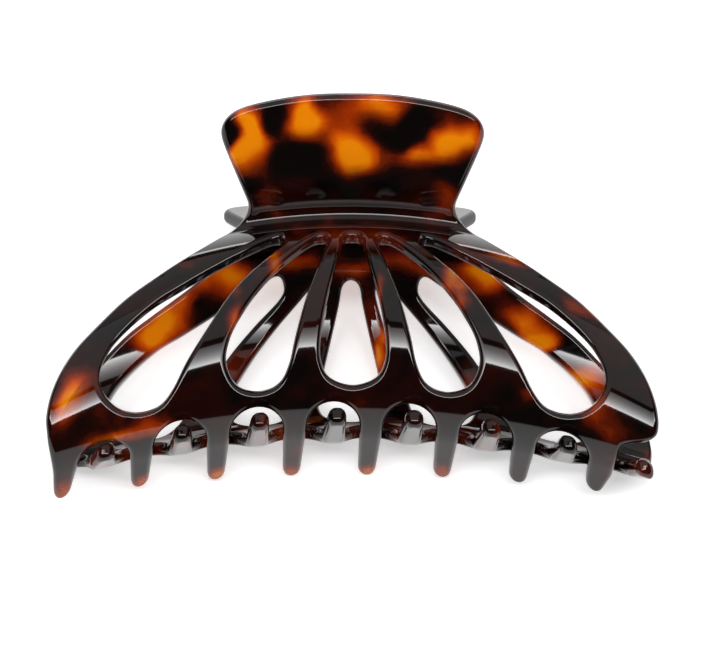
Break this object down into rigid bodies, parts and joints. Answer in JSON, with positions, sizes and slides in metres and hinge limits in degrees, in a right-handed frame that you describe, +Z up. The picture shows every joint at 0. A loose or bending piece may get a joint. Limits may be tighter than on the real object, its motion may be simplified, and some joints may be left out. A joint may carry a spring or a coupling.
{
  "type": "claw clip",
  "caption": "Large sprung claw clip for hair with fanned open ribs, interlocking combs of teeth and two flared finger handles.",
  "frame": {"origin": "middle of the bounding box's footprint, on the table the closed clip lies on", "axes": "+X along the hinge line, +Y along the table from the teeth to the handles, +Z up from the table"},
  "size_m": [0.108, 0.0716, 0.0463],
  "materials": {
    "acetate": "polished, translucent, mottled amber, red-brown and black",
    "lug_acetate": "polished, dark brown",
    "pin_steel": "plain",
    "spring_steel": "black lacquer"
  },
  "bodies": {
    "rear_half": {"rear_claw": "acetate", "rear_lug_outer": "lug_acetate", "rear_lug_inner": "lug_acetate", "hinge_pin": "pin_steel", "spring_coil": "spring_steel"},
    "front_half": {"front_claw": "acetate", "front_lug_outer": "lug_acetate", "front_lug_inner": "lug_acetate", "spring_front_arm": "spring_steel"}
  },
  "joints": [
    {"name": "claw_hinge", "type": "hinge", "parent": "rear_half", "child": "front_half", "pos_m": [0, 0.02187, 0.02162], "axis": [-1, 0, 0], "range_deg": [0, 75], "stiffness_Nm_per_rad": 0.12, "springref_deg": -68.75}
  ]
}
